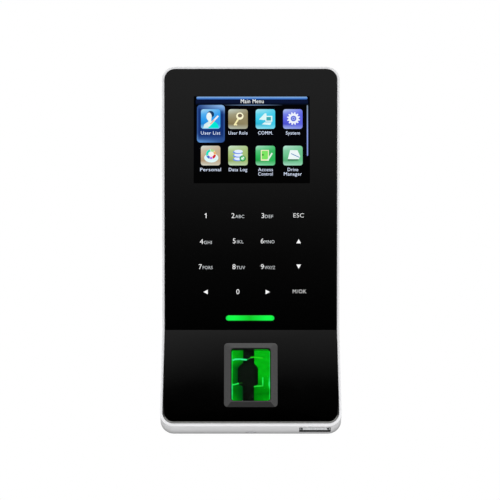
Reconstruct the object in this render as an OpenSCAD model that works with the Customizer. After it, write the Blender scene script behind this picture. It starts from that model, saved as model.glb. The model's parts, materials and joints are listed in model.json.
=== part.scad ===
// Wall-mounted fingerprint access terminal.
// X runs to the viewer's right, +Y into the wall and Z up. The wall is the plane y = 0 and
// z = 0 is half way up the body. Lengths are in millimetres.

/* [Body] */
// Height of the body
body_h = 160; // [156:1:166]
// Width across the top
top_w = 77.4; // [76:0.2:80]
// Width at the crease, where the outline is narrowest
waist_w = 76.4; // [75:0.2:79]
// Width across the bottom
bottom_w = 78; // [76:0.2:80]
// Radius of the four corners in front view
corner_r = 5.8; // [5:0.2:7]
// Depth from the wall to the upper panel
upper_t = 14; // [13.8:0.1:15]
// Depth from the wall to the lower panel at its bottom edge
lower_t = 19.4; // [19:0.1:21]
// Height of the crease between the two panels
crease_z = -37; // [-38:0.5:-36]
// Thickness of the housing's side walls
wall_t = 2; // [1.8:0.1:2.2]

/* [Front panels] */
// Thickness of the two acrylic panels
panel_t = 1.6; // [1.4:0.1:1.6]
// How far the panels stand in front of the housing's lip
panel_proud = 0.8; // [0.2:0.1:0.9]
// Width of the housing's lip around the panels
lip_w = 1; // [0.9:0.1:1.4]
// How much wider the lip is along the bottom edge
low_lip = 0.3; // [0:0.1:0.6]
// Width of the status light bar
light_w = 20.8; // [18:0.2:24]
// Height of the status light bar
light_h = 2.3; // [2.2:0.1:2.8]

/* [Display and keypad] */
// Sideways place of the display's middle
lcd_x = 0.4; // [-0.4:0.2:0.6]
// Height of the display's middle
lcd_z = 47.4; // [47:0.2:47.8]
// Distance between key columns
key_dx = 13.5; // [12:0.1:14]
// Distance between key rows
key_dz = 11.2; // [10:0.1:11.4]

/* [Fingerprint sensor] */
// Width of the raised bezel
bezel_w = 23; // [22.8:0.1:24]
// Height of the raised bezel along the slope
bezel_h = 28.9; // [28.8:0.1:30]
// Width of the glass
glass_w = 16.5; // [15.5:0.1:16.5]
// Height of the glass
glass_h = 23.1; // [22:0.1:23.1]
// Distance from the crease down the slope to the sensor's middle
sensor_drop = 20.5; // [20.3:0.1:21.3]

/* [Wall mounting] */
// Sideways distance between the wall screws
wall_hole_dx = 40; // [38:1:42]
// Upright distance between the wall screws
wall_hole_dz = 112; // [110:1:114]
// Radius of the wall screw holes
wall_hole_r = 2.25; // [2:0.05:2.5]
// How far the terminal slides up to come off its hooks
lift = 5; // [4:0.5:5]

/* [Hidden] */
$fn = 48;

// Slope of the lower panel, and its lean from upright
slope = (lower_t - upper_t) / (body_h / 2 + crease_z);
lean = atan(slope);
past = 10;                            // how far the cutting profiles run past the body

// Depth levels, counted from the wall towards the viewer as negative y
plate_t = 1.2;                        // steel wall plate
housing_rear = -0.3;                  // the housing's rear rim
cover_rear = -1.6;                    // rear cover's outer face
cover_front = -3.6;                   // rear cover's inner face
board_rear = -7.3;                    // main board, towards the wall
board_front = -8.5;                   // main board, towards the viewer
tape_t = 0.2;
front_wall_t = 1.2;
recess_s = panel_t + tape_t;          // depth of the recess that takes the panels
cavity_s = recess_s + front_wall_t;   // depth of the front wall's inner face
upper_wall_y = -upper_t + cavity_s;   // that face, behind the upper panel
lcd_glass_y = -upper_t + panel_t + 0.05;
touch_y = -upper_t + panel_t + 0.35;  // front face of the touch board
fit_gap = 0.15;
seam_gap = 0.1;                       // between the two panels at the crease

// Front wall openings behind the upper panel
lcd_window = [61.4, 45.4];
key_window = [59, 46.8];
key_centre = [0.75, -3.5];
light_at = [-0.3, -31.75];

// Places as [x, z]
case_screw_at = [[-33.2, 74.4], [33.2, 74.4], [-33.9, 0], [33.9, 0], [-33.9, -60], [33.9, -60]];
board_screw_at = [for (z = [62, 30, -28]) for (x = [-33.9, 33.9]) [x, z]];
hook_at = [for (z = [42, -10]) for (x = [-27, 27]) [x, z]];
wall_hole_mid_z = 4;
wall_hole_at = [for (sz = [-1, 1]) for (sx = [-1, 1])
                [sx * wall_hole_dx / 2, wall_hole_mid_z + sz * wall_hole_dz / 2]];
tamper_at = [-12, 8];
reset_at = [12, 8];
cable_z = -27.5;
buzzer_at = [-15, 38];
battery_at = [13, 38];

// USB socket, which stands on the main board behind a cut-out in the bottom wall
usb_x = 27.6;
usb_size = [13.1, 5.7];
usb_y = board_front - usb_size[1] / 2;
usb_top = -65.8;
usb_shell_t = 0.35;
usb_mouth = -body_h / 2 + 0.2;
usb_cut_w = 13.5;
usb_cut_front = -15.2;
usb_cut_rear = -4.4;
usb_tab_out = 0.4;                    // how far the shell's spring tab bends out

// Security screw in the bottom wall
tab_y = -4.4;
tab_bottom = -72;
screw_head_r = 2.2;
screw_recess = 1.3;                   // depth of the recess for its head

// Sensor parts, in depths below the lower panel's face
bezel_proud = 1;
neck_w = bezel_w - 2.6;
neck_h = bezel_h - 2.6;
neck_depth = cavity_s;
sensor_screw_x = 12.9;
seal_t = 0.4;
glass_r = 1;                          // corner radius of the glass
glass_proud = 0.5;
glass_depth = 1.5;
chamber_depth = 10.2;
sensor_board_h = 22;
sensor_board_t = 1;

// ---------- shared shapes ----------

// Points of an arc about [cx, cz]
function arc(cx, cz, r, from, to, steps = 9) =
    [for (i = [0:steps]) let (a = from + (to - from) * i / steps)
        [cx + r * cos(a), cz + r * sin(a)]];

// Front outline of the body, drawn in by inset, and by low more along the bottom
function outline(inset, low = 0) =
    let (cz = body_h / 2 - corner_r, tx = top_w / 2 - corner_r, bx = bottom_w / 2 - corner_r,
         r = corner_r - inset, waist = waist_w / 2 - inset)
    concat(arc(tx, cz, r, 0, 90), arc(-tx, cz, r, 90, 180), [[-waist, crease_z]],
           arc(-bx, low - cz, r, 180, 270), arc(bx, low - cz, r, 270, 360),
           [[waist, crease_z]]);

// Side view of a surface that follows both panels, at depth s behind their faces
function front_edge(s) =
    [[-lower_t - slope * past + s, -body_h / 2 - past],
     [-upper_t + s, crease_z],
     [-upper_t + s, body_h / 2 + past]];

// y of the panels' face at height z
function front_y(z) = z > crease_z ? -upper_t : -upper_t - slope * (crease_z - z);

function backwards(list) = [for (i = [len(list) - 1:-1:0]) list[i]];

// A flat shape drawn in x and z, from y0 back to y1
module slab(y0, y1) {
    translate([0, y1, 0]) rotate([90, 0, 0]) linear_extrude(y1 - y0) children();
}

// A side view drawn in y and z, run across the width w about x
module across(w, x = 0) {
    translate([x - w / 2, 0, 0]) rotate([90, 0, 90]) linear_extrude(w) children();
}

// A round bar along y
module rod(at, y0, y1, r) {
    translate([at[0], y1, at[1]]) rotate([90, 0, 0]) cylinder(r = r, h = y1 - y0);
}

// A box by its middle [x, z] and size [w, h], from y0 back to y1
module block(at, size, y0, y1) {
    translate([at[0] - size[0] / 2, y0, at[1] - size[1] / 2]) cube([size[0], y1 - y0, size[1]]);
}

// The body from the depth s behind the panels' faces back to rear
module body_solid(inset, s, rear) {
    intersection() {
        slab(-lower_t - past, rear) polygon(outline(inset));
        across(top_w + past)
            polygon(concat(front_edge(s), [[past, body_h / 2 + past], [past, -body_h / 2 - past]]));
    }
}

// A sheet that follows both panels inside the lip, between the depths s0 and s1
module front_layer(inset, s0, s1) {
    intersection() {
        slab(-lower_t - past, past) polygon(outline(inset, low_lip));
        across(top_w + past) polygon(concat(front_edge(s0), backwards(front_edge(s1))));
    }
}

// Rectangle with round corners
module round_rect(size, r) {
    square([size[0] - 2 * r, size[1]], center = true);
    square([size[0], size[1] - 2 * r], center = true);
    for (sx = [-1, 1]) for (sz = [-1, 1])
        translate([sx * (size[0] / 2 - r), sz * (size[1] / 2 - r)]) circle(r = r);
}

// Bar with round ends, lying across
module stadium(w, h) {
    square([w - h, h], center = true);
    for (s = [-1, 1]) translate([s * (w - h) / 2, 0]) circle(r = h / 2);
}

// Puts children on the lower panel: local y is the depth below its face and z runs up the slope
module on_slope() {
    translate([0, -upper_t - sensor_drop * sin(lean), crease_z - sensor_drop * cos(lean)])
        rotate([-lean, 0, 0]) children();
}

// The openings that the front wall and the tape share
module front_openings() {
    slab(-upper_t, upper_wall_y + 1) {
        translate([lcd_x, lcd_z]) square(lcd_window, center = true);
        translate(key_centre) square(key_window, center = true);
        translate(light_at) stadium(light_w + 0.2, light_h + 0.2);
    }
    on_slope() slab(-1, cavity_s + 2) round_rect([neck_w + 0.4, neck_h + 0.4], 1);
}

// ---------- wall side ----------

module wall_plate() color("silver") {
    plate_size = [67, 144];
    hook_w = 6;
    reach = 5.2;
    difference() {
        slab(-plate_t, 0) round_rect(plate_size, 4);
        for (p = wall_hole_at) rod(p, -plate_t - 1, 1, wall_hole_r);
        // cable opening
        slab(-plate_t - 1, 1) translate([0, cable_z]) round_rect([37, 18], 3);
        // windows left by the hooks
        for (p = hook_at) block([p[0], p[1] - 3.75], [hook_w + 0.4, 7.5], -plate_t - 1, 1);
        // slot for the tamper plunger, as long as the lift
        block([tamper_at[0], tamper_at[1] + lift / 2], [4.4, lift], -plate_t - 1, 1);
        for (dz = [0, lift]) rod([tamper_at[0], tamper_at[1] + dz], -plate_t - 1, 1, 2.2);
    }
    // hooks that the rear cover hangs on
    for (p = hook_at) {
        block([p[0], p[1] + plate_t / 2], [hook_w, plate_t], -reach, -plate_t);
        block([p[0], p[1] + 3], [hook_w, 6], -reach, -reach + plate_t);
    }
    // folded tab that takes the security screw
    difference() {
        block([0, tab_bottom + plate_t / 2], [10, plate_t], -6.6, -plate_t);
        translate([0, tab_y, tab_bottom - 1]) cylinder(r = 1.6, h = plate_t + 2);
    }
}

module rear_cover() color("dimgray") {
    pocket = [9.2, 9.2 + lift];
    slot_h = lift + 1.75;
    difference() {
        union() {
            slab(cover_front, cover_rear) polygon(outline(wall_t + fit_gap));
            // domes that make room for the wall screws' heads
            for (p = wall_hole_at)
                slab(cover_front - 2, cover_front)
                    translate([p[0], p[1] - lift / 2]) round_rect(pocket + [2.4, 2.4], 2.4);
        }
        for (p = wall_hole_at)
            slab(cover_front - 0.8, cover_rear + 1)
                translate([p[0], p[1] - lift / 2]) round_rect(pocket, 1.2);
        // slots that drop over the hooks
        for (p = hook_at)
            block([p[0], p[1] + plate_t + fit_gap - slot_h / 2], [7, slot_h],
                  cover_front - 1, cover_rear + 1);
        // window over the cable sockets
        slab(cover_front - 1, cover_rear + 1) translate([0, cable_z]) round_rect([34, 15], 1.5);
        // notch for the wall plate's tab and the security screw
        block([0, -74], [12, 13], cover_front - 1, cover_rear + 1);
        rod(tamper_at, cover_front - 1, cover_rear + 1, 1.7);
        rod(reset_at, cover_front - 1, cover_rear + 1, 0.9);
        for (p = case_screw_at) {
            rod(p, cover_front - 1, cover_rear + 1, 1.3);
            rod(p, cover_rear - 1.2, cover_rear + 1, 2.2);
        }
        // sound holes over the buzzer
        for (i = [-2:2]) rod(buzzer_at + [i * 2.4, 0], cover_front - 1, cover_rear + 1, 0.7);
    }
}

// ---------- housing and panels ----------

// A screw post from inside the front wall back to rear
module post(at, rear, r, bore) {
    front = front_y(at[1]) + recess_s + 0.5;
    difference() {
        rod(at, front, rear, r);
        rod(at, front + 1.5, rear + 1, bore);
    }
}

module housing() color("gainsboro") {
    difference() {
        body_solid(0, panel_proud, housing_rear);
        front_layer(lip_w, -past, recess_s);
        body_solid(wall_t, cavity_s, past);
        front_openings();
        // USB cut-out in the bottom wall
        translate([usb_x - usb_cut_w / 2, usb_cut_front, -body_h / 2 - 1])
            cube([usb_cut_w, usb_cut_rear - usb_cut_front, wall_t + 2]);
        // blind holes for the sensor's screws
        on_slope() for (s = [-1, 1])
            rod([s * sensor_screw_x, 0], recess_s + 0.3, cavity_s + 1, 0.9);
        // security screw: clearance hole and recess for its head
        translate([0, tab_y, -body_h / 2 - 1]) cylinder(r = 1.7, h = wall_t + 2);
        translate([0, tab_y, -body_h / 2 - 1])
            cylinder(r = screw_head_r + fit_gap, h = 1 + screw_recess);
    }
    for (p = case_screw_at) post(p, cover_front, 2.5, 1.2);
    for (p = board_screw_at) post(p, board_front, 2.2, 1);
}

module display_panel() color("black") {
    difference() {
        front_layer(lip_w + fit_gap, 0, panel_t);
        block([0, crease_z - 50 + seam_gap / 2], [100, 100], -40, past);
        slab(-upper_t - 1, 0) translate(light_at) stadium(light_w + 0.2, light_h + 0.2);
    }
}

module sensor_panel() color("black") {
    difference() {
        front_layer(lip_w + fit_gap, 0, panel_t);
        block([0, crease_z + 100 - seam_gap / 2], [100, 200], -40, past);
        on_slope() slab(-2, 4) round_rect([neck_w + 0.4, neck_h + 0.4], 1);
    }
}

module panel_tape() color("dimgray") {
    difference() {
        front_layer(lip_w + 0.6, panel_t, recess_s);
        front_openings();
    }
}

module light_bar() color("lime") {
    slab(-upper_t, upper_wall_y) translate(light_at) stadium(light_w, light_h);
    slab(upper_wall_y, upper_wall_y + 1.4)
        translate(light_at) stadium(light_w + 2.2, light_h + 2.2);
}

module status_leds() color("white") {
    for (s = [-1, 1]) block(light_at + [s * 8, 0], [3, 1.6], board_front - 0.9, board_front);
}

// ---------- display and keypad ----------

module lcd_glass() color("black") {
    block([lcd_x, lcd_z], [60, 43.4], lcd_glass_y, lcd_glass_y + 1.2);
}

module lcd_frame() color("lightgray") {
    frame_size = [60.8, 44.5];
    block([lcd_x, lcd_z], frame_size, lcd_glass_y + 1.2, lcd_glass_y + 2.6);
}

module lcd_flex() color("orange") {
    flex_t = 0.2;
    top = lcd_z - 22.25;
    across(18, lcd_x) polygon([
        [-10.5, top], [-10.5, 23.2], [-9.2, 22.4], [-9.2, 21.5],
        [-9.2 + flex_t, 21.5], [-9.2 + flex_t, 22.5],
        [-10.5 + flex_t, 23.3], [-10.5 + flex_t, top]]);
}

module lcd_connector() color("ivory") {
    block([lcd_x, 20], [20, 3], board_front - 1.2, board_front);
}

module key_diffuser() color("white") {
    block(key_centre, [58, 46], touch_y - 0.3, touch_y);
}

module touch_board() color("darkgreen") {
    block(key_centre, [58, 46], touch_y, touch_y + 1);
}

module key_leds() color("white") {
    for (i = [0:3]) for (j = [0:3])
        block(key_centre + [(i - 1.5) * key_dx, (j - 1.5) * key_dz], [1.6, 0.8],
              touch_y + 1, touch_y + 1.6);
}

module touch_connector() color("ivory") {
    block([0, -24.9], [12, 2.6], touch_y + 1, board_front);
}

// Flat coil around the keypad window
module card_antenna() color("peru") {
    outer = [61.2, 50.4];
    wire = 0.5;
    pitch = 0.8;
    for (turn = [0:2])
        slab(upper_wall_y, upper_wall_y + 0.3) translate(key_centre) difference() {
            square(outer - [1, 1] * 2 * pitch * turn, center = true);
            square(outer - [1, 1] * 2 * (pitch * turn + wire), center = true);
        }
}

// ---------- main board ----------

module main_board() color("darkgreen") {
    half_w = 30.8;
    leg_x = 14.6;
    ear = [5.8, 6.4];                 // tab for a screw
    usb_pad = [34.9 - leg_x, 13.5];   // wide end of the right leg, under the USB socket
    difference() {
        slab(board_front, board_rear) {
            translate([-half_w, -38]) square([2 * half_w, 108]);
            for (p = board_screw_at)
                translate([p[0] - sign(p[0]), p[1]]) square(ear, center = true);
            // legs on both sides of the sensor
            for (x = [-half_w, leg_x]) translate([x, -75]) square([half_w - leg_x, 38]);
            translate([leg_x, -77]) square(usb_pad);
        }
        for (p = board_screw_at) rod(p, board_front - 1, board_rear + 1, 1.1);
    }
}

module processor_shield() color("silver") {
    block([-10, 52], [22, 22], board_front - 1, board_front);
}

module board_chips() color("black") {
    front_chips = [[14, 54, 12, 8], [14, 42, 9, 9], [-16, 34, 7, 5], [20, 8, 8, 6],
                   [-20, 6, 10, 8]];
    for (c = front_chips)
        block([c[0], c[1]], [c[2], c[3]], board_front - 0.9, board_front);
    rear_chips = [[0, 56, 7, 7], [0, 20, 9, 6], [-22, 24, 5, 4], [22, -44, 8, 5], [-22, -40, 6, 5]];
    for (c = rear_chips)
        block([c[0], c[1]], [c[2], c[3]], board_rear, board_rear + 1);
}

module wifi_antenna() color("gold") {
    block([-4, 66.5], [20, 5], board_rear + 2, board_rear + 2.4);
    for (x = [-12, 4]) block([x, 66.5], [1, 3], board_rear, board_rear + 2);
}

module network_transformer() color("black") {
    block([20, -14], [9, 12], board_rear, board_rear + 1.6);
}

module relay() color("navy") {
    block([-22.5, -67], [14, 10], board_front - 4.4, board_front);
}

module buzzer() color("black") {
    difference() {
        rod(buzzer_at, board_rear, board_rear + 3, 6);
        rod(buzzer_at, board_rear + 2, board_rear + 4, 1);
    }
}

module battery_holder() color("ivory") {
    difference() {
        block(battery_at, [15, 15], board_rear, board_rear + 1.2);
        rod(battery_at, board_rear + 0.4, board_rear + 2, 6.3);
    }
}

module backup_battery() color("silver") {
    rod(battery_at, board_rear + 0.4, board_rear + 2.4, 6.2);
}

module cable_sockets() color("ivory") {
    for (i = [-1:1]) difference() {
        block([i * 10.6, cable_z], [9.6, 9], board_rear, board_rear + 3);
        block([i * 10.6, cable_z], [7.6, 6.6], board_rear + 0.8, board_rear + 4);
    }
}

// Metal shell with a bent-out spring tab at the rear of its mouth
module usb_shell() color("silver") {
    tab_w = 10.4;
    tab_h = 1.1;
    inner = usb_size - [2 * usb_shell_t, 2 * usb_shell_t];
    outside = usb_y + usb_size[1] / 2;
    inside = outside - usb_shell_t;
    bend = usb_mouth + tab_h;
    difference() {
        translate([usb_x - usb_size[0] / 2, usb_y - usb_size[1] / 2, usb_mouth])
            cube([usb_size[0], usb_size[1], usb_top - usb_mouth]);
        translate([usb_x - inner[0] / 2, usb_y - inner[1] / 2, usb_mouth - 1])
            cube([inner[0], inner[1], usb_top - usb_mouth + 1 - usb_shell_t]);
        translate([usb_x - tab_w / 2, inside - 0.1, usb_mouth - 1]) cube([tab_w, 1, tab_h + 1]);
    }
    across(tab_w, usb_x) polygon([
        [inside, bend + 0.1], [outside, bend + 0.1], [outside, bend],
        [outside + usb_tab_out, usb_mouth], [inside + usb_tab_out, usb_mouth], [inside, bend]]);
}

// Black foam in front of and behind the shell, nearly flush with the bottom face
module usb_gasket() color("black") {
    foam_h = 1.6;
    gap = 0.1;                        // between the foam and the shell
    front_strip = [usb_cut_front, usb_y - usb_size[1] / 2 - gap];
    rear_strip = [usb_y + usb_size[1] / 2 + usb_tab_out + gap, usb_cut_rear];
    for (y = [front_strip, rear_strip])
        translate([usb_x - usb_cut_w / 2, y[0], -body_h / 2 + 0.05])
            cube([usb_cut_w, y[1] - y[0], foam_h]);
}

module usb_tongue() color("white") {
    translate([usb_x - 5.6, usb_y - 2.3, usb_mouth + 0.4])
        cube([11.2, 2.3, usb_top - usb_mouth - 0.4 - usb_shell_t]);
}

// ---------- fingerprint sensor ----------

// Frame whose four faces slope up from the panel to a narrow land round the glass
module sensor_bezel() color("gray") on_slope() {
    opening = [glass_w + 2 * seal_t, glass_h + 2 * seal_t];
    land = 0.35;
    edge_t = 0.25;                    // height of the upright outer edge
    difference() {
        union() {
            hull() {
                slab(-edge_t, 0) round_rect([bezel_w, bezel_h], 1.6, $fn = 32);
                slab(-bezel_proud, -bezel_proud + 0.05)
                    round_rect(opening + [2 * land, 2 * land], 0.6, $fn = 32);
            }
            slab(0, neck_depth) round_rect([neck_w, neck_h], 1);
        }
        slab(-2, neck_depth + 1) round_rect(opening, glass_r + seal_t);
    }
}

module sensor_seal() color("black") on_slope() {
    difference() {
        slab(-glass_proud + 0.1, glass_depth)
            round_rect([glass_w + 2 * seal_t, glass_h + 2 * seal_t], glass_r + seal_t);
        slab(-2, glass_depth + 1) round_rect([glass_w, glass_h], glass_r);
    }
}

module sensor_window() color("palegreen") on_slope() {
    slab(-glass_proud, glass_depth) round_rect([glass_w, glass_h], glass_r);
}

// Optical chamber behind the glass, with two ears for its screws
module sensor_body() color("darkslategray") on_slope() {
    difference() {
        union() {
            block([0, 0], [neck_w, neck_h], neck_depth, chamber_depth);
            block([0, 0], [30, 5], neck_depth, neck_depth + 2);
        }
        block([0, 0], [glass_w - 0.5, glass_h - 0.5], neck_depth - 1, chamber_depth - 1);
        for (s = [-1, 1]) rod([s * sensor_screw_x, 0], 0, 8, 0.9);
    }
}

module sensor_screws() color("silver") on_slope() {
    for (s = [-1, 1]) {
        rod([s * sensor_screw_x, 0], neck_depth + 2, neck_depth + 3, 1.6);
        rod([s * sensor_screw_x, 0], recess_s + 0.4, neck_depth + 2, 0.85);
    }
}

module sensor_lens() color("black") on_slope() {
    rod([0, 0], chamber_depth - 4, chamber_depth - 1, 3);
}

module sensor_leds() color("lime") on_slope() {
    for (sx = [-1, 1]) for (sz = [-1, 1])
        block([sx * 6, sz * 9], [1.6, 1.6], chamber_depth - 1.8, chamber_depth - 1);
}

module sensor_board() color("darkgreen") on_slope() {
    block([0, 0], [22, sensor_board_h], chamber_depth, chamber_depth + sensor_board_t);
}

module sensor_ribbon() color("orange") {
    ribbon_t = 0.3;
    foot = crease_z - (sensor_drop - sensor_board_h / 2) * cos(lean) - chamber_depth * sin(lean)
        + 0.05;
    across(8) polygon([
        [-4.5, foot], [-4.5, -45], [-6.8, -41], [-6.8, -37.8],
        [-6.8 + ribbon_t, -37.8], [-6.8 + ribbon_t, -40.8], [-4.5 + ribbon_t, -44.9],
        [-4.5 + ribbon_t, foot]]);
}

module sensor_connector() color("ivory") {
    block([0, -36.2], [10, 3.2], board_rear, board_rear + 1.2);
}

// ---------- switches and screws ----------

module tamper_switch() color("black") {
    difference() {
        block(tamper_at, [6, 6], board_rear, board_rear + 3.2);
        rod(tamper_at, board_rear + 0.3, board_rear + 2.7, 1.96);
        rod(tamper_at, board_rear + 2, board_rear + 4, 1.56);
    }
}

// Plunger with the flange that keeps it in its switch, drawn pressed in by the wall
module tamper_plunger() color("red") {
    rod(tamper_at, board_rear + 0.85, board_rear + 1.25, 1.9);
    rod(tamper_at, board_rear + 1.25, -0.1, 1.5);
}

module reset_switch() color("silver") {
    difference() {
        block(reset_at, [4.5, 4.5], board_rear, board_rear + 2.3);
        rod(reset_at, board_rear + 1.3, board_rear + 3, 1.06);
    }
}

module reset_button() color("black") {
    rod(reset_at, board_rear + 1.8, board_rear + 3.1, 1);
}

// Button head with a six-sided socket, and a plain shank
module security_screw() color("silver") {
    head_t = 1.25;
    head_top = -body_h / 2 + screw_recess;
    shank_top = -68.5;
    translate([0, tab_y, 0]) difference() {
        union() {
            translate([0, 0, head_top - head_t]) cylinder(r = screw_head_r, h = head_t);
            translate([0, 0, head_top]) cylinder(r = 1.5, h = shank_top - head_top);
        }
        translate([0, 0, head_top - head_t - 1]) cylinder(r = 1, h = 1.7, $fn = 6);
    }
}

module case_screws() color("silver") {
    for (p = case_screw_at) {
        rod(p, cover_rear - 1.2, cover_rear - 0.1, 2);
        rod(p, -9.5, cover_rear - 1.2, 1.15);
    }
}

module board_screws() color("silver") {
    for (p = board_screw_at) {
        rod(p, board_rear, board_rear + 1.3, 1.9);
        rod(p, upper_wall_y + 0.9, board_rear, 0.95);
    }
}

wall_plate();
rear_cover();
housing();
display_panel();
sensor_panel();
panel_tape();
light_bar();
status_leds();
lcd_glass();
lcd_frame();
lcd_flex();
lcd_connector();
key_diffuser();
touch_board();
key_leds();
touch_connector();
card_antenna();
main_board();
processor_shield();
board_chips();
wifi_antenna();
network_transformer();
relay();
buzzer();
backup_battery();
battery_holder();
cable_sockets();
usb_shell();
usb_tongue();
usb_gasket();
sensor_bezel();
sensor_seal();
sensor_window();
sensor_body();
sensor_lens();
sensor_leds();
sensor_board();
sensor_ribbon();
sensor_connector();
sensor_screws();
tamper_switch();
tamper_plunger();
reset_switch();
reset_button();
security_screw();
case_screws();
board_screws();
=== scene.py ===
"""Looks of the fingerprint access terminal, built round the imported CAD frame.

X runs to the viewer's right, +Y into the wall and Z up. Sizes are in millimetres, and MM turns
them into the frame's metres. Drawn layers use x and z in a plane, with depth counted into it.
"""

import json
import math

import bmesh
import bpy
from mathutils import Matrix, Vector

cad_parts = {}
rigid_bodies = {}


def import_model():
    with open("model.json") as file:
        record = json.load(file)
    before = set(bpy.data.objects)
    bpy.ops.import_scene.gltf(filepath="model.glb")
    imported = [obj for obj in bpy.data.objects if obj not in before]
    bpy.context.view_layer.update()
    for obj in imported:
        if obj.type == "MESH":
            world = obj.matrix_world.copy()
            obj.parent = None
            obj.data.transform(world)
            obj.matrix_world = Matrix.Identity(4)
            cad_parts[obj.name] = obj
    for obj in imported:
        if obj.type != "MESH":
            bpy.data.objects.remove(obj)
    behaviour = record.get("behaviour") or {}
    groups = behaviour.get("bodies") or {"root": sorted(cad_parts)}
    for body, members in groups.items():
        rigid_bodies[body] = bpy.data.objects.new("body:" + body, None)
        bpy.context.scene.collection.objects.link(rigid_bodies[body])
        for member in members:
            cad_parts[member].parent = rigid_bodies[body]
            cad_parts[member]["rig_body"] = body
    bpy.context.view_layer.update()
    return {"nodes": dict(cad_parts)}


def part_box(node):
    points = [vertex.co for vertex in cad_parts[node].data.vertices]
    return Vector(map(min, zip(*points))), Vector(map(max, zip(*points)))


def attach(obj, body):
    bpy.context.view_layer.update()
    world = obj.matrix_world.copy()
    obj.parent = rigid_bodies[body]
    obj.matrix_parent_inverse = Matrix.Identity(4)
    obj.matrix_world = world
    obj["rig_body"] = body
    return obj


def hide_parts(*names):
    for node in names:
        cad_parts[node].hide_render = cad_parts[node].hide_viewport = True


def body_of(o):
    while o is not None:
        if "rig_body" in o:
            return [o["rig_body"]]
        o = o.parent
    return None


MM = 0.001
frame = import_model()


# ---------- places from the frame ----------

def box_mm(node):
    """Lowest and highest corner of a CAD node, in millimetres."""
    low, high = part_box(node)
    return low / MM, high / MM


def middle_mm(node):
    """Middle of a CAD node's box, in millimetres."""
    low, high = box_mm(node)
    return (low + high) / 2


display_low = box_mm("display_panel")[0]
lower_low, lower_high = box_mm("sensor_panel")
PANEL_Y = display_low.y
CREASE_Z = (display_low.z + lower_high.z) / 2
LEAN = math.atan((display_low.y - lower_low.y) / (CREASE_Z - lower_low.z))

LCD_AT = middle_mm("lcd_glass")
LIT_W = 50.4                     # lit area of the display
LIT_H = 38.8

KEY_LED_W = 1.6
KEY_LED_H = 0.8
key_low, key_high = box_mm("key_leds")
KEY_AT = (key_low + key_high) / 2
KEY_DX = (key_high.x - key_low.x - KEY_LED_W) / 3
KEY_DZ = (key_high.z - key_low.z - KEY_LED_H) / 3

# The sensor's own frame: its middle on the lower panel's face, depth into it, z up the slope
GLASS_FRONT = -0.5
GLASS_BACK = 1.5
TURN = Matrix.Rotation(-LEAN, 4, "X")
SENSOR_AT = middle_mm("sensor_window") - TURN @ Vector((0, (GLASS_FRONT + GLASS_BACK) / 2, 0))
ON_SLOPE = Matrix.Translation(SENSOR_AT) @ TURN


# ---------- shader helpers ----------

def rgb(red, green, blue):
    """A screen colour, 0 to 255 a channel, as linear light."""
    values = []
    for part in (red, green, blue):
        share = part / 255
        values.append(share / 12.92 if share <= 0.04045 else ((share + 0.055) / 1.055) ** 2.4)
    return tuple(values)


def add(tree, kind, **inputs):
    """A new shader node. Inputs are plain values, or sockets to join on."""
    node = tree.nodes.new("ShaderNode" + kind)
    for name, value in inputs.items():
        socket = node.inputs[name.replace("_", " ")]
        if isinstance(value, bpy.types.NodeSocket):
            tree.links.new(value, socket)
        else:
            socket.default_value = value
    return node


def math_node(tree, operation, one, two=0.0):
    """One step of arithmetic on a socket."""
    node = tree.nodes.new("ShaderNodeMath")
    node.operation = operation
    for socket, value in zip(node.inputs, (one, two)):
        if isinstance(value, bpy.types.NodeSocket):
            tree.links.new(value, socket)
        else:
            socket.default_value = value
    return node.outputs[0]


def ramp(tree, factor, stops):
    """Colours by place: stops are (place from 0 to 1, (red, green, blue))."""
    node = tree.nodes.new("ShaderNodeValToRGB")
    bar = node.color_ramp
    while len(bar.elements) < len(stops):
        bar.elements.new(0.5)
    for element, (place, colour) in zip(bar.elements, stops):
        element.position = place
    for element, (place, colour) in zip(bar.elements, stops):
        element.color = (*colour, 1.0)
    tree.links.new(factor, node.inputs["Fac"])
    return node.outputs["Color"]


def span(tree, value, low, high, to_low=0.0, to_high=1.0):
    """Value carried from low..high to to_low..to_high, and kept inside it."""
    node = tree.nodes.new("ShaderNodeMapRange")
    tree.links.new(value, node.inputs["Value"])
    node.inputs["From Min"].default_value = low
    node.inputs["From Max"].default_value = high
    node.inputs["To Min"].default_value = to_low
    node.inputs["To Max"].default_value = to_high
    return node.outputs["Result"]


def tinted(tree, one, two):
    """Two colours multiplied channel by channel."""
    node = tree.nodes.new("ShaderNodeMix")
    node.data_type = "RGBA"
    node.blend_type = "MULTIPLY"
    node.inputs[0].default_value = 1.0
    tree.links.new(one, node.inputs[6])
    tree.links.new(two, node.inputs[7])
    return node.outputs[2]


def object_place(tree):
    """The place on the object, in metres."""
    return add(tree, "TexCoord").outputs["Object"]


def noise(tree, size, detail=3.0):
    """Noise from 0 to 1 whose lumps are size millimetres across."""
    node = add(tree, "TexNoise", Vector=object_place(tree), Scale=1 / (size * MM),
               Detail=detail, Roughness=0.5)
    return node.outputs["Fac"]


def shade(colour, factor):
    """A colour made darker or lighter by a factor."""
    return tuple(part * factor for part in colour)


def new_material(name):
    """A material with its node tree and its one Principled shader."""
    material = bpy.data.materials.new(name)
    material.use_nodes = True
    tree = material.node_tree
    return material, tree, tree.nodes["Principled BSDF"]


def join(tree, source, shader, name):
    tree.links.new(source, shader.inputs[name])


# ---------- materials ----------

def add_grain(tree, shader, size, depth):
    """Fine bumps of the given size and depth."""
    bump = add(tree, "Bump", Height=noise(tree, size, 2.0), Distance=depth * MM, Strength=1.0)
    join(tree, bump.outputs["Normal"], shader, "Normal")


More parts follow.
